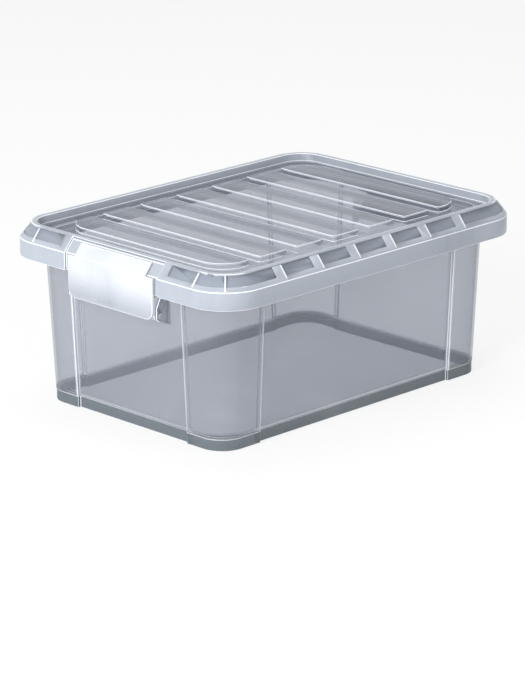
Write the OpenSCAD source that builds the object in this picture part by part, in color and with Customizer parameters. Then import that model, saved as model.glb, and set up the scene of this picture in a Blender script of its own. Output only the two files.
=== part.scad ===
// Clip-lid food storage box: tapered tub, lift-off lid and a hinged clip handle at each end.
// Millimetres. +X runs along the length, +Y across the width, +Z up.
// The origin is the centre of the base, on the surface the box stands on.

/* [Lid] */
// Overall length of the lid
lid_length = 400; // [390:5:420]
// Overall width of the lid
lid_width = 300; // [295:5:320]
// Corner radius of the lid skirt seen from above
lid_corner = 41; // [38:1:46]
// Height of the lid's top edge above the ground
lid_top_z = 173; // [171:1:190]
// Height of the skirt's vertical band
skirt_height = 17; // [14:1:18]
// Vertical drop of the sloping shoulder
shoulder_drop = 14; // [13:0.5:15]
// Horizontal run of the sloping shoulder
shoulder_run = 11.2; // [10.5:0.1:11.9]
// Width of the raised lip on top
lip_width = 5.5; // [5:0.5:6]
// Depth of the tray inside the lip
tray_depth = 7.5; // [7:0.5:8]
// Wall thickness of the lid
lid_wall = 1.8; // [1.6:0.1:2]

/* [Tray plateaus] */
// Number of raised plateaus across the tray
plateau_count = 7; // [5:1:7]
// Distance from one plateau to the next
plateau_pitch = 47.64; // [46:0.02:48]
// Width of one plateau
plateau_width = 34.7; // [30:0.1:36]
// Height of a plateau above the tray floor
plateau_rise = 5.5; // [4:0.5:6]
// Overall run of the plateaus across the lid
plateau_span = 212; // [190:2:216]
// Corner radius of the two outermost plateaus
plateau_big_corner = 26; // [18:1:30]
// Corner radius of the other plateaus
plateau_small_corner = 3; // [2:0.5:5]

/* [Shoulder windows and ribs] */
// Distance of the first shoulder rib from the centre, along the front side
rib_first = 121.5; // [118:0.5:124]
// Thickness of a shoulder rib
rib_width = 1.2; // [1:0.1:1.6]
// How far a shoulder rib stands out of the slope
rib_proud = 0.9; // [0.6:0.1:1.2]
// Depth of the clear windows sunk in the slope
window_depth = 0.6; // [0.4:0.1:0.8]
// How far below the lid's top edge the windows reach
window_drop = 10; // [8:0.5:11]
// Width of the pad left standing beside each rib
pad_width = 10; // [8:0.5:12]

/* [Tub] */
// How far each end panel stands in from the lid's end, at the base
end_setback = 27; // [26:0.5:29]
// How far each side panel stands in from the lid's side, at the base
side_setback = 33.5; // [31:0.5:36]
// Outer corner radius at the base
base_corner = 24; // [20:1:28]
// Wall thickness of the tub
tub_wall = 2; // [1.8:0.1:2.4]
// Outward lean of the walls, millimetres per millimetre of height
wall_lean = 0.05; // [0.045:0.001:0.055]
// How far the corner pillars stand out of the panels
pillar_step = 3; // [2:0.5:3.5]
// Width of the flat panel on the short ends
end_panel_width = 148; // [144:2:152]
// Length of the flat panel on the long sides
side_panel_length = 254; // [246:2:262]
// Height of the base band
band_height = 11; // [9:0.5:13]
// Thickness of the floor
floor_wall = 2.2; // [2:0.1:2.6]
// Height of the floor's upper face
floor_top_z = 12.5; // [12:0.5:15]

/* [Clip handles] */
// Width of the handle plate
plate_width = 113.2; // [108:0.2:113.2]
// Thickness of the handle plate
plate_wall = 2.6; // [2.2:0.1:2.8]
// How far the plate reaches below the lid's skirt
plate_below = 23.5; // [23:0.5:24]
// Radius of the plate's two lower corners
plate_corner = 9; // [6:0.5:12]
// Width of the tongue that hooks over the lid
tongue_width = 94; // [80:2:100]
// Width of the notch in the lid's end
notch_width = 124; // [120:1:128]
// Depth of the notch in the lid's skirt
notch_depth = 2.5; // [2:0.1:2.6]
// Radius of the hinge pins
pin_radius = 2.5; // [2:0.1:3]
// Running clearance between pin and bore, on the radius
pin_clearance = 0.05; // [0.02:0.01:0.09]

/* [Hidden] */
$fn = 96;
eps = 0.01;
lid_hx = lid_length / 2;
lid_hy = lid_width / 2;
shoulder_z = lid_top_z - shoulder_drop;
skirt_z = shoulder_z - skirt_height;
slope = shoulder_run / shoulder_drop;
slope_stretch = sqrt(1 + slope * slope);
window_sunk = short(window_depth * slope_stretch);
rib_out = short(rib_proud * slope_stretch);
tray_z = lid_top_z - tray_depth;
tray_inset = shoulder_run + lip_width;
plateau_z = tray_z + plateau_rise;
plateau_first = -(plateau_count - 1) / 2 * plateau_pitch - plateau_width / 2;
knee_drop = 0.7;
inner_knee_z = shoulder_z - knee_drop;
inner_top_z = lid_top_z - lid_wall;
floor_under_z = tray_z - lid_wall;
plug_depth = 5;
plug_wall = 1.6;
plug_gap = 0.8;
plug_corner = base_corner + pillar_step;
window_top_gap = 1.2;
rib_top_gap = 1.2;
rib_foot_gap = 0.9;
end_rib_gap = 2;
web_reach = 7.5;
web_foot = 8;
web_tip = 2.5;
split_overlap = 0.3;

base_hx = lid_hx - end_setback;
base_hy = lid_hy - side_setback;
rest_gap = 0.3;
rim_z = floor_under_z - rest_gap;
rim_wall = 2.2;
rim_inset = 10;
rim_hx = lid_hx - rim_inset;
rim_hy = lid_hy - rim_inset;
rim_corner = lid_corner - rim_inset;
rim_drop = 12.4;
panel_top_gap = 4;

axis_inset = 6.2;
axis_rise = 4;
plate_play = 0.8;
plate_rise = -0.8;
plate_bottom_z = skirt_z - plate_below;
axis_x = lid_hx - axis_inset;
axis_z = plate_bottom_z + axis_rise;
notch_x = lid_hx - notch_depth;
plate_in_x = notch_x + plate_play;
plate_out_x = plate_in_x + plate_wall;
tongue_back = 1.7;
tongue_sink = 3.4;
tongue_tip_x = lid_hx - shoulder_run + tongue_back;
tongue_top_z = lid_top_z - tongue_sink;
tongue_gap = 0.5;
tongue_wall = 2.4;
tongue_root = 4;
barrel_radius = 5;
barrel_length = 6.6;
flange_wall = 2.2;
flange_back = 3;
flange_rise = 3.9;
cheek_gap = 0.6;
cheek_wall = 3;
cheek_in_y = plate_width / 2 + cheek_gap;
cheek_top_gap = 1.5;
cheek_top_z = skirt_z - cheek_top_gap;
cheek_foot = 12.5;
cheek_foot_z = axis_z - cheek_foot;
cheek_face = 8;
cheek_skin = 0.4;
bore_end_gap = 0.3;
pin_end_gap = 0.2;
pin_reach = cheek_in_y + cheek_wall - pin_end_gap;
// How deep a rib or flange is rooted in the wall it stands on
root = 1;
// How far a cutter runs past the face that it cuts
over = 1;
// Reach of the blocks that cut or mask, well past the faces they meet
reach = 40;

// A section drawn in XZ, extruded along Y and centred on it
module along_y(width) {
  translate([0, width / 2, 0]) rotate([90, 0, 0]) linear_extrude(height = width) children();
}

// A section drawn in YZ, extruded along X from x0
module along_x(x0, length) {
  translate([x0, 0, 0]) rotate([90, 0, 90]) linear_extrude(height = length) children();
}

module both_ends() {
  children();
  rotate([0, 0, 180]) children();
}

module four_corners() {
  children();
  mirror([1, 0, 0]) children();
  mirror([0, 1, 0]) children();
  mirror([1, 0, 0]) mirror([0, 1, 0]) children();
}

// Upright slab with rounded corners seen from above
module slab(hx, hy, r, z0, z1) {
  translate([0, 0, z0]) linear_extrude(height = z1 - z0) {
    square([2 * hx, 2 * (hy - r)], center = true);
    square([2 * (hx - r), 2 * hy], center = true);
    for (sx = [-1, 1], sy = [-1, 1]) translate([sx * (hx - r), sy * (hy - r)]) circle(r = r);
  }
}

// The same slab with leaning walls: hx, hy and r are taken at z0, and grow by lean per millimetre
module lean_slab(hx, hy, r, z0, z1, lean) {
  grow = short(lean * (z1 - z0));
  along_y(2 * (hy - r)) polygon([[-hx, z0], [hx, z0], [hx + grow, z1], [-hx - grow, z1]]);
  for (t = [0, 1]) mirror([0, t, 0]) along_x(-(hx - r), 2 * (hx - r))
    polygon([[hy - r, z0], [hy, z0], [hy + grow, z1], [hy - r, z1]]);
  four_corners() translate([hx - r, hy - r, 0]) rotate_extrude(angle = 90)
    polygon([[0, z0], [r, z0], [r + grow, z1], [0, z1]]);
}

function lean_at(z) = short(wall_lean * z);

// Rounds to hundredths, so that surfaces that meet are written with the same figures
function short(v) = round(v * 100) / 100;

// Space in front of the four flat panels, from the panel plane outward
module panel_space(inset, widen, z0, z1) {
  for (s = [0, 180]) rotate([0, 0, s]) {
    along_y(end_panel_width + 2 * widen)
      polygon([[base_hx - inset + lean_at(z0), z0], [base_hx + reach, z0],
               [base_hx + reach, z1], [base_hx - inset + lean_at(z1), z1]]);
    along_x(-side_panel_length / 2 - widen, side_panel_length + 2 * widen)
      polygon([[base_hy - inset + lean_at(z0), z0], [base_hy + reach, z0],
               [base_hy + reach, z1], [base_hy - inset + lean_at(z1), z1]]);
  }
}

module tub_outer() {
  z1 = rim_z - rim_wall;
  band_lean = lean_at(band_height);
  difference() {
    union() {
      slab(base_hx + pillar_step, base_hy + pillar_step, base_corner, 0, band_height);
      lean_slab(base_hx + pillar_step + band_lean, base_hy + pillar_step + band_lean,
                base_corner + band_lean, band_height, z1 + eps, wall_lean);
    }
    panel_space(0, 0, band_height, z1 - panel_top_gap);
    for (s = [0, 180]) rotate([0, 0, s]) {
      translate([base_hx, -end_panel_width / 2, -over])
        cube([reach, end_panel_width, band_height + over]);
      translate([-side_panel_length / 2, base_hy, -over])
        cube([side_panel_length, reach, band_height + over]);
    }
  }
}

module tub_cavity() {
  inset = tub_wall - pillar_step;
  difference() {
    lean_slab(base_hx - inset + lean_at(floor_top_z), base_hy - inset + lean_at(floor_top_z),
              base_corner - tub_wall + lean_at(floor_top_z), floor_top_z, rim_z + over, wall_lean);
    panel_space(tub_wall, tub_wall, floor_top_z - over, rim_z + 2 * over);
  }
}

// Turned-out rim that the lid rests on
module tub_rim() {
  slab(rim_hx, rim_hy, rim_corner, rim_z - rim_wall, rim_z);
  difference() {
    slab(rim_hx, rim_hy, rim_corner, rim_z - rim_drop, rim_z - rim_wall + eps);
    slab(rim_hx - tub_wall, rim_hy - tub_wall, rim_corner - tub_wall,
         rim_z - rim_drop - over, rim_z - rim_wall + over);
  }
}

// Hinge bracket beside each end of a clip handle
module cheek_section() {
  root_x = base_hx + lean_at(cheek_foot_z) - tub_wall / 2;
  translate([axis_x, axis_z]) circle(r = barrel_radius + cheek_skin);
  polygon([[root_x, cheek_foot_z], [axis_x, axis_z - barrel_radius], [axis_x + barrel_radius, axis_z],
           [axis_x + barrel_radius, axis_z + cheek_face], [axis_x, cheek_top_z],
           [root_x + lean_at(cheek_top_z - cheek_foot_z), cheek_top_z]]);
}

module cheeks() {
  both_ends() for (s = [0, 1]) mirror([0, s, 0])
    translate([0, cheek_in_y + cheek_wall / 2, 0]) along_y(cheek_wall) cheek_section();
}

module tub() {
  recess_z = floor_top_z - floor_wall;
  color([0.72, 0.78, 0.84, 0.4]) difference() {
    union() {
      tub_outer();
      tub_rim();
      cheeks();
    }
    tub_cavity();
    difference() {
      slab(base_hx + pillar_step - tub_wall, base_hy + pillar_step - tub_wall,
           base_corner - tub_wall, -over, recess_z);
      for (s = [0, 180]) rotate([0, 0, s]) {
        translate([base_hx - tub_wall, -end_panel_width / 2 - tub_wall, -2 * over])
          cube([reach, end_panel_width + 2 * tub_wall, recess_z + 3 * over]);
        translate([-side_panel_length / 2 - tub_wall, base_hy - tub_wall, -2 * over])
          cube([side_panel_length + 2 * tub_wall, reach, recess_z + 3 * over]);
      }
    }
    both_ends() translate([axis_x, 0, axis_z]) rotate([90, 0, 0])
      difference() {
        cylinder(r = pin_radius + pin_clearance, h = 2 * (cheek_in_y + cheek_wall + over), center = true);
        cylinder(r = pin_radius + cheek_gap, h = 2 * (cheek_in_y - bore_end_gap), center = true);
      }
  }
}

// Quarter of a disc, filling the corner at the origin's lower left
module round_corner(r) {
  intersection() {
    circle(r = r);
    translate([-r - over, -r - over]) square([r + over, r + over]);
  }
}

// Rounded half of a plateau, from its middle to its left edge
module plateau_half(width, hy, r) {
  translate([-width, -hy + r]) square([width, 2 * (hy - r)]);
  translate([-width + r, -hy]) square([width - r, 2 * hy]);
  for (s = [0, 1]) mirror([0, s]) translate([-width + r, -hy + r]) round_corner(r);
}

// One raised plateau, seen from above
module plateau_shape(index, inset) {
  left_r = (index == 0 ? plateau_big_corner : plateau_small_corner) - inset / 2;
  right_r = (index == plateau_count - 1 ? plateau_big_corner : plateau_small_corner) - inset / 2;
  width = plateau_width - 2 * inset;
  split = index == 0 ? width - right_r - split_overlap : left_r + split_overlap;
  translate([plateau_first + index * plateau_pitch + inset + split, 0]) {
    plateau_half(split, plateau_span / 2 - inset, left_r);
    mirror([1, 0]) plateau_half(width - split, plateau_span / 2 - inset, right_r);
  }
}

module plateaus(inset, z0, z1) {
  translate([0, 0, z0]) linear_extrude(height = z1 - z0)
    for (i = [0 : plateau_count - 1]) plateau_shape(i, inset);
}

module lid_outer() {
  lean_slab(lid_hx, lid_hy, lid_corner, skirt_z, shoulder_z, 0);
  lean_slab(lid_hx, lid_hy, lid_corner, shoulder_z, lid_top_z, -slope);
}

// Everything under the lid's shell, apart from the tray in the middle
module lid_hollow() {
  w = lid_wall;
  difference() {
    union() {
      lean_slab(lid_hx - w, lid_hy - w, lid_corner - w, skirt_z - over, inner_knee_z, 0);
      lean_slab(lid_hx - w, lid_hy - w, lid_corner - w, inner_knee_z, inner_top_z, -slope);
    }
    slab(lid_hx - tray_inset + w, lid_hy - tray_inset + w, lid_corner - tray_inset + w,
         floor_under_z, lid_top_z);
    both_ends() along_y(notch_width + 2 * w)
      polygon([[notch_x - w, skirt_z - 2 * over], [notch_x - w, inner_knee_z],
               [notch_x - w - slope * (inner_top_z + over - inner_knee_z), inner_top_z + over],
               [lid_hx + over, inner_top_z + over], [lid_hx + over, skirt_z - 2 * over]]);
  }
}

// Notch in the lid's end that takes the clip handle
module clip_notch() {
  lip_x = lid_hx - shoulder_run;
  both_ends() along_y(notch_width)
    polygon([[lip_x, lid_top_z + over], [lip_x, shoulder_z + (notch_x - lip_x) / slope],
             [notch_x, shoulder_z], [notch_x, skirt_z - over],
             [lid_hx + over, skirt_z - over], [lid_hx + over, lid_top_z + over]]);
}

// Slice of the slope between two heights, measured outward from a half-size
function slope_band(half, z0, z1, low, high) = [
  [half - slope * (z0 - shoulder_z) + low, z0], [half - slope * (z0 - shoulder_z) + high, z0],
  [half - slope * (z1 - shoulder_z) + high, z1], [half - slope * (z1 - shoulder_z) + low, z1]];

// Clear windows sunk in the slope, with the pads and the clip notch left standing between them
module windows() {
  z0 = lid_top_z - window_drop;
  z1 = lid_top_z - window_top_gap;
  foot_in = short(slope * (z0 - shoulder_z));
  difference() {
    lean_slab(lid_hx - foot_in + 2 * over, lid_hy - foot_in + 2 * over, lid_corner - foot_in + 2 * over,
              z0, z1, -slope);
    lean_slab(lid_hx - foot_in - window_sunk, lid_hy - foot_in - window_sunk,
              lid_corner - foot_in - window_sunk, z0 - eps, z1 + eps, -slope);
    both_ends() {
      for (i = [0 : plateau_count - 2])
        translate([-rib_first + i * plateau_pitch - pad_width, -lid_hy - reach, z0 - over])
          cube([pad_width, 2 * reach, window_drop + 2 * over]);
      translate([lid_hx - reach, -notch_width / 2 - pad_width, z0 - over])
        cube([2 * reach, notch_width + 2 * pad_width, window_drop + 2 * over]);
    }
  }
}

// Thin rib standing on the slope, drawn in XZ with the slope's foot at the given half-size
module rib_section(half) {
  top = lid_top_z - rib_top_gap;
  top_x = half - slope * (top - shoulder_z);
  polygon([[half - root, shoulder_z], [half - rib_foot_gap, shoulder_z],
           [half - rib_foot_gap, shoulder_z + (rib_out + rib_foot_gap) / slope],
           [top_x + rib_out, top], [top_x - root, top]]);
}

// Web under the slope, between the skirt and the tub's rim
module web_section(half) {
  polygon([[half - web_reach, skirt_z + web_foot], [half - root, skirt_z + web_tip],
           [half - root, shoulder_z], [half - web_reach, shoulder_z + web_reach]]);
}

module side_rib(x) {
  translate([x, 0, 0]) rotate([0, 0, -90]) along_y(rib_width) {
    rib_section(lid_hy);
    web_section(lid_hy);
  }
}

module ribs() {
  both_ends() for (i = [0 : plateau_count - 2]) side_rib(-rib_first + i * plateau_pitch);
  four_corners() {
    translate([lid_hx - lid_corner, lid_hy - lid_corner, 0]) rotate([0, 0, 45]) along_y(rib_width) {
      rib_section(lid_corner);
      web_section(lid_corner);
    }
    translate([0, lid_hy - lid_corner - end_rib_gap, 0]) along_y(rib_width) rib_section(lid_hx);
  }
}

module lid() {
  w = lid_wall;
  plug_hx = base_hx + lean_at(rim_z - plug_depth) - tub_wall - plug_gap;
  plug_hy = base_hy + lean_at(rim_z - plug_depth) - tub_wall - plug_gap;
  color([0.78, 0.83, 0.88, 0.4]) difference() {
    union() {
      difference() {
        lid_outer();
        slab(lid_hx - tray_inset, lid_hy - tray_inset, lid_corner - tray_inset, tray_z, lid_top_z + over);
        lid_hollow();
        clip_notch();
        windows();
      }
      plateaus(0, tray_z - eps, plateau_z);
      ribs();
      difference() {
        slab(plug_hx, plug_hy, plug_corner, floor_under_z - plug_depth, floor_under_z + eps);
        slab(plug_hx - plug_wall, plug_hy - plug_wall, plug_corner - plug_wall,
             floor_under_z - plug_depth - over, floor_under_z + over);
      }
    }
    plateaus(w, floor_under_z - over, plateau_z - w);
  }
}

// Plate of the handle, drawn in YZ
module plate_shape() {
  half = plate_width / 2;
  corner_z = plate_bottom_z + plate_corner;
  translate([-half, corner_z]) square([plate_width, shoulder_z + plate_rise - corner_z]);
  translate([-half + plate_corner, plate_bottom_z])
    square([plate_width - 2 * plate_corner, plate_corner + eps]);
  for (s = [-1, 1]) translate([s * (half - plate_corner), corner_z]) circle(r = plate_corner);
}

module tongue_section() {
  low = tongue_gap * slope_stretch;
  high = low + tongue_wall * slope_stretch;
  polygon([
    [plate_in_x, shoulder_z - tongue_root],
    [plate_in_x, shoulder_z - (plate_in_x - notch_x - low) / slope],
    [tongue_tip_x, shoulder_z + (notch_x + low - tongue_tip_x) / slope],
    [tongue_tip_x, tongue_top_z],
    [notch_x + high - slope * (tongue_top_z - shoulder_z), tongue_top_z],
    [plate_out_x, shoulder_z + (notch_x + high - plate_out_x) / slope],
    [plate_out_x, shoulder_z - tongue_root]]);
}

module flange_section() {
  tangent = 0.7 * barrel_radius;
  translate([axis_x, axis_z]) circle(r = barrel_radius);
  polygon([[axis_x - flange_back, axis_z + flange_rise], [axis_x, cheek_top_z - root],
           [plate_in_x + root, cheek_top_z], [plate_in_x + root, plate_bottom_z + plate_corner],
           [axis_x + tangent, axis_z - tangent]]);
}

// Clip handle for the +X end
module clip() {
  along_x(plate_in_x, plate_wall) plate_shape();
  along_y(tongue_width) tongue_section();
  for (s = [0, 1]) mirror([0, s, 0]) {
    translate([0, plate_width / 2 - flange_wall / 2, 0]) along_y(flange_wall) flange_section();
    translate([axis_x, plate_width / 2, axis_z]) rotate([90, 0, 0])
      cylinder(r = barrel_radius, h = barrel_length);
    translate([axis_x, pin_reach, axis_z]) rotate([90, 0, 0])
      cylinder(r = pin_radius, h = pin_reach - plate_width / 2 + root);
  }
}

module clip_left() {
  color([0.86, 0.9, 0.94, 0.5]) rotate([0, 0, 180]) clip();
}

module clip_right() {
  color([0.86, 0.9, 0.94, 0.5]) clip();
}

tub();
lid();
clip_left();
clip_right();
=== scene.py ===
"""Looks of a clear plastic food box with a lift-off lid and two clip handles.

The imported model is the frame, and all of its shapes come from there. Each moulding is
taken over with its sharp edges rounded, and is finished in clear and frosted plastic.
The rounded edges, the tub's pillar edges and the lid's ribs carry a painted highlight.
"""

import logging
import math
from dataclasses import dataclass
from enum import Enum

import bmesh
import bpy
from mathutils import Matrix, Vector
from mathutils.geometry import intersect_line_line_2d, intersect_point_line


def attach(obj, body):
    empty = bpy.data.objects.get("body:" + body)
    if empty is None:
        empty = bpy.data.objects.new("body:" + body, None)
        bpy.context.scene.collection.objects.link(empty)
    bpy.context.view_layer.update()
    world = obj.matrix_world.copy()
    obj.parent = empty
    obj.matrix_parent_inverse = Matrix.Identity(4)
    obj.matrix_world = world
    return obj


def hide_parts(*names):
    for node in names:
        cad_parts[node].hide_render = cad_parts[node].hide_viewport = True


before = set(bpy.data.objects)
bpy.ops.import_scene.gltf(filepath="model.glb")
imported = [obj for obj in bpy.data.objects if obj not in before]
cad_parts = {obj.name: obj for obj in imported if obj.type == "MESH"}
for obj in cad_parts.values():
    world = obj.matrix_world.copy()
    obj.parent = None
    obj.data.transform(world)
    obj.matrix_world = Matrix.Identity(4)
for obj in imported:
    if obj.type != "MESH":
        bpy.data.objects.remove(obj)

log = logging.getLogger("food_box")

# A span says where something starts and where it is full, or its two ends.
Span = tuple[float, float]
Triple = tuple[float, float, float]
Colour = tuple[float, float, float]
Socket = bpy.types.NodeSocket

# The mesh attribute from which a bevel by weight reads its edges.
EDGE_WEIGHT = "bevel_weight_edge"

# Least length that anything is divided by.
TINY = 1e-9

# Plain white, of the sky and of the lit floor.
LIGHT: Colour = (1.0, 1.0, 1.0)

# Colour that light takes on where it goes straight through a surface of the plastic.
PASSED: Colour = (0.89, 0.9, 0.92)


@dataclass(frozen=True)
class Pattern:
    """A noise pattern.

    Attributes:
        scale: Waves per metre along X, Y and Z.
        detail: Octaves of finer noise.
        roughness: How strong each finer octave is.
    """

    scale: Triple
    detail: float
    roughness: float = 0.55


@dataclass(frozen=True)
class Tone:
    """How one kind of surface of the plastic looks.

    Attributes:
        milk: Colour that the plastic scatters back.
        haze: Share of light that one surface scatters when it is seen head-on.
        edge_haze: The same share where the surface is seen from the side.
        roughness: Roughness of the surface.
    """

    milk: Colour
    haze: float
    edge_haze: float
    roughness: float


CLEAR = Tone(milk=(0.34, 0.365, 0.41), haze=0.11, edge_haze=0.5, roughness=0.16)
FROSTED = Tone(milk=(0.43, 0.47, 0.53), haze=0.58, edge_haze=0.82, roughness=0.34)
HAZY = Tone(milk=(0.5, 0.54, 0.6), haze=0.42, edge_haze=0.85, roughness=0.34)
WHITE = Tone(milk=(0.62, 0.65, 0.7), haze=0.66, edge_haze=0.9, roughness=0.32)
BASE = Tone(milk=(0.12, 0.15, 0.17), haze=0.5, edge_haze=0.8, roughness=0.3)
# Painted highlight: a bright, milky tone laid on rounded edges, pillar edges and ribs in place of
# the light that they catch.
EDGE_HIGHLIGHT = Tone(milk=(0.9, 0.92, 0.95), haze=0.75, edge_haze=0.9, roughness=0.18)


def opaque(colour: Colour | Socket) -> Socket | tuple[float, ...]:
    """Returns a colour with its opacity, or a socket as it is."""
    return colour if isinstance(colour, Socket) else (*colour, 1.0)


def add_object(name: str, data: bpy.types.ID) -> bpy.types.Object:
    """Puts a new object into the scene.

    Args:
        name: Name of the object.
        data: Its mesh, camera or light.

    Returns:
        The new object.
    """
    new = bpy.data.objects.new(name, data)
    bpy.context.scene.collection.objects.link(new)
    return new


class NodeSheet:
    """The node tree of one material, written node by node.

    Attributes:
        strip_fade: Distance over which a strip fades out on each side.
        material: The material.
        tree: Its node tree.
    """

    strip_fade: float = 0.00025

    def __init__(self, name: str) -> None:
        """Makes an empty material.

        Args:
            name: Name of the material.
        """
        self.material = bpy.data.materials.new(name)
        self.material.use_nodes = True
        self.tree = self.material.node_tree
        self.tree.nodes.clear()

    def node(self, kind: str, inputs: dict | None = None, **settings: object) -> bpy.types.Node:
        """Adds one node.

        Args:
            kind: Blender's name of the node, without its leading ShaderNode.
            inputs: Values or sockets for the node's inputs, by name or by number.
            settings: Properties of the node.

        Returns:
            The new node.
        """
        new = self.tree.nodes.new("ShaderNode" + kind)
        for name, value in settings.items():
            setattr(new, name, value)
        for key, value in (inputs or {}).items():
            if isinstance(value, Socket):
                self.tree.links.new(value, new.inputs[key])
            else:
                new.inputs[key].default_value = value
        return new

    def math(self, operation: str, *values: Socket | float, clamp: bool = False) -> Socket:
        """Adds a Math node and returns its result."""
        inputs = dict(enumerate(values))
        return self.node("Math", inputs, operation=operation, use_clamp=clamp).outputs[0]

    def ramp(self, value: Socket, low: float, high: float) -> Socket:
        """Turns a value into a smooth share: 0 at low and 1 at high.

        Args:
            value: The value that is read.
            low: Where the share starts to rise.
            high: Where the share reaches 1. It may be less than low.

        Returns:
            The share.
        """
        inputs = {"Value": value, "From Min": low, "From Max": high}
        return self.node("MapRange", inputs, interpolation_type="SMOOTHSTEP").outputs[0]

    def strip(self, value: Socket, low: float, high: float) -> Socket:
        """Returns 1 between two values, and 0 further outside them than the strip's fade."""
        rise = self.ramp(value, low - self.strip_fade, low)
        return self.math("MULTIPLY", rise, self.ramp(value, high + self.strip_fade, high))

    def between(self, share: Socket, first: Socket | float, second: Socket | float) -> Socket:
        """Returns a value that goes from first to second as the share goes from 0 to 1."""
        inputs = {"Value": share, "To Min": first, "To Max": second}
        return self.node("MapRange", inputs, interpolation_type="LINEAR").outputs[0]

    def tint(self, share: Socket, first: Colour | Socket, second: Colour) -> Socket:
        """Returns a colour that goes from first to second as the share goes from 0 to 1."""
        inputs = {"Factor": share, 6: opaque(first), 7: opaque(second)}
        return self.node("Mix", inputs, data_type="RGBA").outputs[2]

    def place(self) -> Socket:
        """Returns the point on the piece, in the part's own frame."""
        return self.node("TexCoord").outputs["Object"]

    def noise(self, pattern: Pattern) -> Socket:
        """Adds a noise that is stretched by the pattern's scale along each axis.

        Args:
            pattern: The noise's scale, detail and roughness.

        Returns:
            The noise, about 0.5 on average.
        """
        spot = self.node("Mapping", {"Vector": self.place(), "Scale": pattern.scale}).outputs[0]
        return self.node("TexNoise", {
            "Vector": spot, "Scale": 1.0, "Detail": pattern.detail,
            "Roughness": pattern.roughness}).outputs[0]

    def outline_distance(self, spot: bpy.types.Node, outline: Triple) -> Socket:
        """Adds the distance of a point from a rounded rectangle, seen from above.

        Args:
            spot: The node that gives the point's X, Y and Z.
            outline: The rectangle's half length, half width and corner radius.

        Returns:
            The distance, negative inside the outline.
        """
        half_length, half_width, corner = outline
        past_x = self.math("SUBTRACT", self.math("ABSOLUTE", spot.outputs[0]), half_length - corner)
        past_y = self.math("SUBTRACT", self.math("ABSOLUTE", spot.outputs[1]), half_width - corner)
        round_x = self.math("MAXIMUM", past_x, 0.0)
        round_y = self.math("MAXIMUM", past_y, 0.0)
        square_y = self.math("MULTIPLY", round_y, round_y)
        square = self.math("MULTIPLY_ADD", round_x, round_x, square_y)
        inside = self.math("MINIMUM", self.math("MAXIMUM", past_x, past_y), 0.0)
        return self.math("SUBTRACT", self.math("ADD", self.math("SQRT", square), inside), corner)

    def finish(self, shader: Socket) -> bpy.types.Material:
        """Ends the tree in this shader and returns the material."""
        self.node("OutputMaterial", {"Surface": shader})
        return self.material


@dataclass(frozen=True)
class Plastic:
    """Moulded polypropylene that goes from one tone to another over a piece.

    Attributes:
        first: Tone where the mask is 0.
        second: Tone where the mask is 1.
        flow: Flow marks of the moulding.
        cloud: Broad clouds of denser plastic.
        grain: Fine texture left by the mould.
        scuff: Thin scuffs.
        side_blend: How early a surface counts as seen from the side.
        side_power: How late its haze rises as it turns away.
        drift: What the haze is multiplied by where flow and clouds are weakest and strongest.
        scuff_span: Values of the scuff pattern where a scuff starts and is full.
        scuff_haze: Haze that a scuff adds.
        grain_roughness: Roughness that the grain adds.
        bump_strength: Strength of the grain's bump.
        bump_depth: Depth of the grain's bump.
        refraction: Index of refraction.
    """

    first: Tone
    second: Tone
    flow: Pattern = Pattern((26.0, 26.0, 5.0), 4.0)
    cloud: Pattern = Pattern((11.0, 11.0, 11.0), 2.0)
    grain: Pattern = Pattern((900.0, 900.0, 900.0), 2.0)
    scuff: Pattern = Pattern((700.0, 60.0, 240.0), 5.0)
    side_blend: float = 0.35
    side_power: float = 2.2
    drift: Span = (0.62, 1.38)
    scuff_span: Span = (0.62, 0.72)
    scuff_haze: float = 0.06
    grain_roughness: float = 0.1
    bump_strength: float = 0.05
    bump_depth: float = 0.0002
    refraction: float = 1.49

    def material(self, sheet: NodeSheet, mask: Socket | None = None,
                 painted_highlight: Socket | None = None) -> bpy.types.Material:
        """Writes the plastic's nodes.

        Args:
            sheet: The material's node tree.
            mask: Share of the second tone at each point, or None for the first tone alone.
            painted_highlight: Share of the painted edge highlight that lies over both, or None.

        Returns:
            The finished material.
        """
        flow = sheet.noise(self.flow)
        cloud = sheet.noise(self.cloud)
        grain = sheet.noise(self.grain)
        scuff = sheet.noise(self.scuff)
        facing = sheet.node("LayerWeight", {"Blend": self.side_blend}).outputs["Facing"]
        if mask is None:
            head_on, side_on = self.first.haze, self.first.edge_haze
            milk, rough = self.first.milk, self.first.roughness
        else:
            head_on = sheet.between(mask, self.first.haze, self.second.haze)
            side_on = sheet.between(mask, self.first.edge_haze, self.second.edge_haze)
            milk = sheet.tint(mask, self.first.milk, self.second.milk)
            rough = sheet.between(mask, self.first.roughness, self.second.roughness)
        haze = sheet.between(sheet.math("POWER", facing, self.side_power), head_on, side_on)
        drift = sheet.between(sheet.math("ADD", flow, cloud), *self.drift)
        haze = sheet.math("MULTIPLY", haze, drift)
        # Painted highlight: the edge highlight tone is laid over the plastic, milkier and more
        # opaque.
        if painted_highlight is not None:
            haze = sheet.math("MAXIMUM", haze, sheet.math("MULTIPLY", painted_highlight, EDGE_HIGHLIGHT.haze))
            milk = sheet.tint(painted_highlight, milk, EDGE_HIGHLIGHT.milk)
        marks = sheet.math("MULTIPLY", sheet.ramp(scuff, *self.scuff_span), self.scuff_haze)
        haze = sheet.math("ADD", haze, marks, clamp=True)
        rough = sheet.math("ADD", rough, sheet.math("MULTIPLY", grain, self.grain_roughness))
        bump = sheet.node("Bump", {
            "Height": grain, "Strength": self.bump_strength,
            "Distance": self.bump_depth}).outputs[0]
        body = sheet.node("BsdfPrincipled", {
            "Base Color": opaque(milk), "Roughness": rough, "Normal": bump,
            "IOR": self.refraction}).outputs[0]
        through = sheet.node("BsdfTransparent", {"Color": opaque(PASSED)}).outputs[0]
        mixed = sheet.node("MixShader", {"Fac": haze, 1: through, 2: body}).outputs[0]
        return sheet.finish(mixed)


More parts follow.
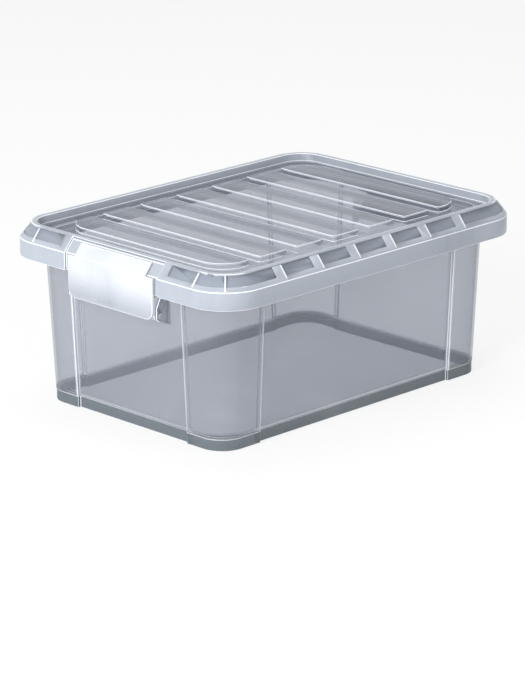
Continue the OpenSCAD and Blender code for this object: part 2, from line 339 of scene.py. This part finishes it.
def distance_to(spot: Vector, start: Vector, end: Vector) -> float:
    """Measures how far a spot is from the straight line between two points.

    Args:
        spot: The spot.
        start: One end of the line.
        end: The other end.

    Returns:
        The distance from the nearest point between the ends.
    """
    nearest, share = intersect_point_line(spot, start, end)
    if share < 0.0:
        nearest = start
    elif share > 1.0:
        nearest = end
    return (spot - nearest).length


def outline_crossings(outline: list[Vector], normal: Vector) -> list[Vector]:
    """Finds where a flat outline crosses itself.

    Args:
        outline: The face's corners in order.
        normal: The face's direction.

    Returns:
        The crossing points, in space.
    """
    level = normal.to_track_quat("Z", "Y").to_matrix().transposed()
    flat = [(level @ corner).to_2d() for corner in outline]
    count = len(flat)
    crossings = []
    for first in range(count):
        # Neighbouring sides share a corner and aren't compared, nor the first with the last.
        for second in range(first + 2, count - (first == 0)):
            ends = (first, (first + 1) % count, second, (second + 1) % count)
            hit = intersect_line_line_2d(*(flat[index] for index in ends))
            if hit is not None:
                start, end = outline[ends[0]], outline[ends[1]]
                share = (hit - flat[ends[0]]).length / max((end - start).length, TINY)
                crossings.append(start.lerp(end, min(1.0, share)))
    return crossings


@dataclass
class Moulding:
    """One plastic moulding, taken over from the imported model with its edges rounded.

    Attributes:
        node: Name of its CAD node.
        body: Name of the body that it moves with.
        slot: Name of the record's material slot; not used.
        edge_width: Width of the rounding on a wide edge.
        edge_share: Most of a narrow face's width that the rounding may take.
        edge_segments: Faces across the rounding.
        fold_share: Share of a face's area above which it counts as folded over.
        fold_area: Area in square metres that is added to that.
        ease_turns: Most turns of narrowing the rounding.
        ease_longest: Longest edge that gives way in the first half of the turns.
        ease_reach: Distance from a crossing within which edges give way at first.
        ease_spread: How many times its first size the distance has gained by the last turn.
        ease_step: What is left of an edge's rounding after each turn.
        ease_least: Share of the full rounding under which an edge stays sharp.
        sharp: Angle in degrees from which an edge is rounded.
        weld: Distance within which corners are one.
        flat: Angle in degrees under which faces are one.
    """

    node: str
    body: str
    slot: str
    edge_width: float = 0.00045
    edge_share: float = 0.4
    edge_segments: int = 2
    fold_share: float = 0.002
    fold_area: float = 1e-8
    ease_turns: int = 26
    ease_longest: float = 0.012
    ease_reach: float = 0.0008
    ease_spread: float = 2.0
    ease_step: float = 0.5
    ease_least: float = 0.3
    sharp: float = 30.0
    weld: float = 2e-6
    flat: float = 0.4

    def finish(self) -> bpy.types.Material:
        """Returns the piece's plastic; each moulding says its own."""
        raise NotImplementedError

    def edge_highlight_finish(self) -> bpy.types.Material:
        """Returns the painted highlight of the rounded edges, a brighter and milkier plastic."""
        return Plastic(EDGE_HIGHLIGHT, EDGE_HIGHLIGHT).material(NodeSheet(f"{self.node}_edge_highlight_plastic"))

    def room(self, edge: bmesh.types.BMEdge) -> float:
        """Measures the room that an edge has for its rounding.

        Args:
            edge: An edge between two faces.

        Returns:
            The width of the narrower of the two faces.
        """
        start = edge.verts[0].co
        along = (edge.verts[1].co - start).normalized()
        widths = []
        for face in edge.link_faces:
            arms = [corner.co - start for corner in face.verts]
            widths.append(max((arm - along * arm.dot(along)).length for arm in arms))
        return min(widths)

    def weigh_edges(self, bm: bmesh.types.BMesh) -> None:
        """Marks each sharp edge with how much of the full rounding it takes.

        Args:
            bm: The piece's mesh.
        """
        weights = bm.edges.layers.float.new(EDGE_WEIGHT)
        limit = math.radians(self.sharp)
        for edge in bm.edges:
            if edge.calc_face_angle(0.0) > limit:
                edge[weights] = min(1.0, self.edge_share * self.room(edge) / self.edge_width)

    def crossed_spots(self, body: bpy.types.Object) -> list[Vector]:
        """Finds where the rounding's outlines run across each other.

        Args:
            body: The piece, with its rounding as a modifier.

        Returns:
            The points where a face's outline crosses itself, and the middles of small
            faces that are folded over.
        """
        depsgraph = bpy.context.evaluated_depsgraph_get()
        depsgraph.update()
        rounded = body.evaluated_get(depsgraph)
        mesh = rounded.to_mesh()
        mesh.calc_loop_triangles()
        covered = [0.0] * len(mesh.polygons)
        for triangle in mesh.loop_triangles:
            covered[triangle.polygon_index] += triangle.area
        spots = []
        for face in mesh.polygons:
            if covered[face.index] - face.area > self.fold_share * face.area + self.fold_area:
                outline = [mesh.vertices[index].co.copy() for index in face.vertices]
                spots += outline_crossings(outline, face.normal) or [face.center.copy()]
        rounded.to_mesh_clear()
        return spots

    def ease_rounding(self, body: bpy.types.Object) -> int:
        """Narrows the rounding wherever its outlines run across each other.

        The short edges of small features give way first, and long edges only where a
        crossing is left after that.

        Args:
            body: The piece, with its rounding as a modifier.

        Returns:
            The number of crossings that are left.
        """
        corners = body.data.vertices
        weights = body.data.attributes[EDGE_WEIGHT].data
        for turn in range(self.ease_turns):
            spots = self.crossed_spots(body)
            if not spots:
                break
            longest = self.ease_longest if turn < self.ease_turns // 2 else math.inf
            reach = self.ease_reach * (1.0 + self.ease_spread * turn / self.ease_turns)
            for edge in body.data.edges:
                start, end = (corners[index].co for index in edge.vertices)
                if weights[edge.index].value == 0.0 or (end - start).length > longest:
                    continue
                if any(distance_to(spot, start, end) < reach for spot in spots):
                    eased = weights[edge.index].value * self.ease_step
                    weights[edge.index].value = eased if eased > self.ease_least else 0.0
            body.data.update()
        return len(self.crossed_spots(body))

    def take_over(self) -> bpy.types.Object:
        """Copies the CAD node's mesh, joins its loose triangles and rounds its edges.

        Returns:
            The new piece, which stands for the CAD node.
        """
        bm = bmesh.new()
        bm.from_mesh(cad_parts[self.node].data)
        bmesh.ops.remove_doubles(bm, verts=bm.verts, dist=self.weld)
        bmesh.ops.dissolve_limit(
            bm, angle_limit=math.radians(self.flat), verts=bm.verts, edges=bm.edges,
            delimit={"NORMAL"})
        self.weigh_edges(bm)
        for face in bm.faces:
            face.smooth = True
        mesh = bpy.data.meshes.new(f"{self.node}_moulding")
        bm.to_mesh(mesh)
        bm.free()
        mesh.materials.append(self.finish())
        # The second slot holds the painted highlight of the rounded edges.
        mesh.materials.append(self.edge_highlight_finish())
        piece = add_object(f"{self.node}_moulding", mesh)
        rounding = piece.modifiers.new("rounded_edges", "BEVEL")
        rounding.limit_method = "WEIGHT"
        rounding.width = self.edge_width
        rounding.segments = self.edge_segments
        rounding.use_clamp_overlap = False
        rounding.harden_normals = True
        # The rounding's faces take the painted highlight.
        rounding.material = len(mesh.materials) - 1
        left = self.ease_rounding(piece)
        log.info("%s: %d crossings left in its rounding", self.node, left)
        return piece

    def dress(self) -> bpy.types.Object:
        """Makes the finished piece, puts it on its body and hides the CAD node.

        Returns:
            The dressed object.
        """
        piece = self.take_over()
        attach(piece, self.body)
        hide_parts(self.node)
        log.info("%s: %d faces on %s", self.node, len(piece.data.polygons), self.body)
        return piece


@dataclass
class Tub(Moulding):
    """The tapered box, with its pillars, base band and rim.

    Attributes:
        band_z: Heights where the base band's tone starts and is full, going down.
        foot_outline: Half length, half width and corner radius of the band's inner face.
        foot_fade: Distances from that outline where the band's tone starts and is full.
        end_x: Distances from the middle where a wall starts to be an end and is one.
        side_y: Distances from the middle where a wall starts to be a long side and is one.
        step_x: Where a pillar's edge starts and ends along the long sides.
        step_y: Where a pillar's edge starts and ends along the ends.
        step_z: Heights where the painted highlight on a pillar's edge starts and is full.
        step_highlight: Strength of the painted highlight on the pillars' edges.
    """

    band_z: Span = (0.014, 0.01)
    foot_outline: Triple = (0.1705, 0.114, 0.0415)
    foot_fade: Span = (-0.001, 0.0005)
    end_x: Span = (0.16, 0.161)
    side_y: Span = (0.112, 0.114)
    step_x: Span = (0.127, 0.1289)
    step_y: Span = (0.074, 0.0759)
    step_z: Span = (0.01, 0.011)
    step_highlight: float = 0.6

    def finish(self) -> bpy.types.Material:
        """Writes clear plastic, darker and denser in the base band, with painted highlights on the
        pillars.

        Returns:
            The material.
        """
        sheet = NodeSheet("tub_clear_plastic")
        spot = sheet.node("SeparateXYZ", {0: sheet.place()})
        height = spot.outputs[2]
        low = sheet.ramp(height, *self.band_z)
        outer = sheet.ramp(sheet.outline_distance(spot, self.foot_outline), *self.foot_fade)
        band = sheet.math("MULTIPLY", low, outer)
        along, across = (sheet.math("ABSOLUTE", spot.outputs[axis]) for axis in (0, 1))
        at_end = sheet.ramp(along, *self.end_x)
        at_side = sheet.ramp(across, *self.side_y)
        # Painted highlight along the pillars' edges, above the base band.
        end_step = sheet.math("MULTIPLY", sheet.strip(across, *self.step_y), at_end)
        side_step = sheet.math("MULTIPLY", sheet.strip(along, *self.step_x), at_side)
        step = sheet.math("MAXIMUM", side_step, end_step)
        above = sheet.ramp(height, *self.step_z)
        painted_highlight = sheet.math("MULTIPLY", sheet.math("MULTIPLY", step, above), self.step_highlight)
        return Plastic(CLEAR, BASE).material(sheet, band, painted_highlight)


@dataclass
class Lid(Moulding):
    """The lift-off lid: lip, tray, sloping shoulder and skirt.

    Depths and heights over the slope are measured level, square to its outline.

    Attributes:
        outline: Half length, half width and corner radius of the skirt.
        tray_edge: Distances from that outline where the frosted part starts and is full.
        knee_z: Height where the skirt meets the slope.
        slope: Run of the slope for each metre of its height.
        window_sunk: Depths under the slope where a window starts and is full.
        window_deep: Deeper ones where it has ended and is still full.
        window_foot: Heights where a window starts and is full at its lower edge.
        window_head: Heights where it starts and is full at its upper edge, going down.
        rib_rise: Heights over the slope where a rib's painted highlight starts and is full.
        rib_z: Heights of the ribs' lower and upper ends.
    """

    outline: Triple = (0.2, 0.15, 0.041)
    tray_edge: Span = (-0.0173, -0.0165)
    knee_z: float = 0.159
    slope: float = 0.8
    window_sunk: Span = (-0.0004, -0.0006)
    window_deep: Span = (-0.0016, -0.0012)
    window_foot: Span = (0.1629, 0.1631)
    window_head: Span = (0.1719, 0.1717)
    rib_rise: Span = (0.00021, 0.00056)
    rib_z: Span = (0.1597, 0.1718)

    def finish(self) -> bpy.types.Material:
        """Writes frosted plastic with a clear tray, clear windows in the slope and painted
        highlights on the ribs.

        Returns:
            The material.
        """
        sheet = NodeSheet("lid_frosted_plastic")
        spot = sheet.node("SeparateXYZ", {0: sheet.place()})
        distance = sheet.outline_distance(spot, self.outline)
        height = spot.outputs[2]
        outer = sheet.ramp(distance, *self.tray_edge)
        rise = sheet.math("SUBTRACT", height, self.knee_z)
        proud = sheet.math("MULTIPLY_ADD", rise, self.slope, distance)
        sunk = sheet.ramp(proud, *self.window_sunk)
        near = sheet.ramp(proud, *self.window_deep)
        low = sheet.ramp(height, *self.window_foot)
        high = sheet.ramp(height, *self.window_head)
        inward = sheet.math("MULTIPLY", sunk, near)
        upward = sheet.math("MULTIPLY", low, high)
        window = sheet.math("MULTIPLY", inward, upward)
        frost = sheet.math("MULTIPLY", outer, sheet.math("SUBTRACT", 1.0, window))
        # Painted highlight on the ribs of the slope.
        raised = sheet.ramp(proud, *self.rib_rise)
        rib_highlight = sheet.math("MULTIPLY", raised, sheet.strip(height, *self.rib_z))
        return Plastic(CLEAR, FROSTED).material(sheet, frost, rib_highlight)


class Side(Enum):
    """The two ends of the box that carry a clip handle."""

    LEFT = -1
    RIGHT = 1


@dataclass
class ClipHandle(Moulding):
    """A clip handle with its hook, flanges and hinge pins.

    Attributes:
        side: The end that it is on.
        dense_z: Heights where the plastic starts to thicken and is thickest.
    """

    side: Side = Side.LEFT
    dense_z: Span = (0.116, 0.15)

    def finish(self) -> bpy.types.Material:
        """Writes milky plastic, thinner towards the handle's lower edge.

        Returns:
            The material.
        """
        sheet = NodeSheet(f"clip_{self.side.name.lower()}_milky_plastic")
        height = sheet.node("SeparateXYZ", {0: sheet.place()}).outputs[2]
        return Plastic(HAZY, WHITE).material(sheet, sheet.ramp(height, *self.dense_z))


@dataclass(frozen=True)
class PhotoCamera:
    """The camera that took the photograph, found from the object's edges.

    Attributes:
        azimuth: Angle round the object in degrees. At 0 it looks along +Y.
        elevation: Angle above the ground in degrees.
        roll: Turn about the line of sight in degrees.
        distance: Distance from the point that it looks at.
        target: The point at the picture's centre.
        focal_pixels: Focal length in pixels of the photograph.
        long_side: The photograph's longer side in pixels.
        sensor: Width of the sensor in millimetres.
        farthest: Distance up to which it sees.
    """

    azimuth: float = -44.76
    elevation: float = 17.58
    roll: float = -0.27
    distance: float = 3.2641
    target: Triple = (-0.00264, 0.00264, 0.03345)
    focal_pixels: float = 3406.2
    long_side: float = 700.0
    sensor: float = 36.0
    farthest: float = 50.0

    def place(self) -> bpy.types.Object:
        """Makes the scene's camera.

        Returns:
            The camera.
        """
        azimuth, elevation, roll = (
            math.radians(angle) for angle in (self.azimuth, self.elevation, self.roll))
        back = Vector((math.sin(azimuth) * math.cos(elevation),
                       -math.cos(azimuth) * math.cos(elevation), math.sin(elevation)))
        level = Vector((0, 0, 1)).cross(back).normalized()
        upright = back.cross(level)
        right = math.cos(roll) * level + math.sin(roll) * upright
        up = math.cos(roll) * upright - math.sin(roll) * level
        lens = bpy.data.cameras.new("photo_camera")
        lens.sensor_width = self.sensor
        lens.lens = self.focal_pixels * self.sensor / self.long_side
        lens.clip_end = self.farthest
        camera = add_object("photo_camera", lens)
        turn = Matrix((right, up, back)).transposed().to_4x4()
        camera.matrix_world = Matrix.Translation(Vector(self.target) + self.distance * back) @ turn
        bpy.context.scene.camera = camera
        return camera


@dataclass(frozen=True)
class SoftLamp:
    """A large soft lamp that looks at the box.

    Attributes:
        name: Name of the lamp.
        place: Where it hangs.
        size: Length of its side.
        power: Its power in watts.
        aim: The point that it looks at.
    """

    name: str
    place: Triple
    size: float
    power: float
    aim: Triple = (0.0, 0.0, 0.08)

    def hang(self) -> bpy.types.Object:
        """Makes the lamp.

        Returns:
            The lamp.
        """
        data = bpy.data.lights.new(self.name, "AREA")
        data.shape = "SQUARE"
        data.size = self.size
        data.energy = self.power
        lamp = add_object(self.name, data)
        lamp.location = self.place
        back = Vector(self.place) - Vector(self.aim)
        lamp.rotation_euler = back.to_track_quat("Z", "Y").to_euler()
        return lamp


@dataclass
class Studio:
    """A white studio: a pale floor, an even sky and soft lamps.

    Attributes:
        floor_half: Half of the floor's side.
        floor_z: Height of the floor, a little under the box so that they don't touch.
        floor_colour: Colour of the floor.
        floor_glow: Share of the floor that the camera sees as plain white.
        sky: Strength of the even light from all round.
        seen_through: Most surfaces that a ray may pass through.
        lamps: The soft lamps.
    """

    floor_half: float = 12.0
    floor_z: float = -0.0004
    floor_colour: Colour = (0.93, 0.93, 0.935)
    floor_glow: float = 0.78
    sky: float = 0.42
    seen_through: int = 40
    lamps: tuple[SoftLamp, ...] = (
        SoftLamp("key_lamp", (-2.3, -0.6, 1.2), 1.3, 66.0),
        SoftLamp("fill_lamp", (0.9, -2.3, 1.1), 1.6, 10.0),
        SoftLamp("top_lamp", (0.3, 0.6, 2.4), 1.6, 19.0),
    )

    def floor(self) -> bpy.types.Object:
        """Makes the floor, which keeps the box's shadow.

        Returns:
            The floor.
        """
        sheet = NodeSheet("studio_floor")
        paint = sheet.node("BsdfDiffuse", {"Color": opaque(self.floor_colour)}).outputs[0]
        glow = sheet.node("Emission", {"Color": opaque(LIGHT), "Strength": 1.0}).outputs[0]
        seen = sheet.node("LightPath").outputs["Is Camera Ray"]
        share = sheet.math("MULTIPLY", seen, self.floor_glow)
        mixed = sheet.node("MixShader", {"Fac": share, 1: paint, 2: glow}).outputs[0]
        bm = bmesh.new()
        bmesh.ops.create_grid(bm, x_segments=1, y_segments=1, size=self.floor_half)
        mesh = bpy.data.meshes.new("studio_floor")
        bm.to_mesh(mesh)
        bm.free()
        mesh.transform(Matrix.Translation((0, 0, self.floor_z)))
        mesh.materials.append(sheet.finish(mixed))
        floor = add_object("studio_floor", mesh)
        return floor

    def world(self) -> None:
        """Makes the even sky, which the camera and mirrored rays see as white."""
        world = bpy.data.worlds.new("studio_sky")
        world.use_nodes = True
        tree = world.node_tree
        sky = tree.nodes["Background"]
        sky.inputs["Color"].default_value = opaque(LIGHT)
        path = tree.nodes.new("ShaderNodeLightPath")
        seen = tree.nodes.new("ShaderNodeMath")
        seen.operation = "MAXIMUM"
        tree.links.new(path.outputs["Is Camera Ray"], seen.inputs[0])
        tree.links.new(path.outputs["Is Glossy Ray"], seen.inputs[1])
        level = tree.nodes.new("ShaderNodeMapRange")
        level.inputs["To Min"].default_value = self.sky
        level.inputs["To Max"].default_value = 1.0
        tree.links.new(seen.outputs[0], level.inputs["Value"])
        tree.links.new(level.outputs[0], sky.inputs["Strength"])
        bpy.context.scene.world = world

    def build(self) -> None:
        """Makes the whole studio."""
        self.floor()
        self.world()
        for lamp in self.lamps:
            lamp.hang()
        bpy.context.scene.view_settings.view_transform = "Standard"
        bpy.context.scene.cycles.transparent_max_bounces = self.seen_through


def main() -> None:
    """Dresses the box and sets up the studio."""
    logging.basicConfig(level=logging.INFO, format="%(message)s")
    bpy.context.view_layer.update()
    mouldings = [
        Tub("tub", "tub", "tub_plastic"),
        Lid("lid", "lid", "lid_plastic"),
        ClipHandle("clip_left", "clip_left", "clip_plastic", side=Side.LEFT),
        ClipHandle("clip_right", "clip_right", "clip_plastic", side=Side.RIGHT),
    ]
    for moulding in mouldings:
        moulding.dress()
    PhotoCamera().place()
    Studio().build()


if __name__ == "__main__":
    main()
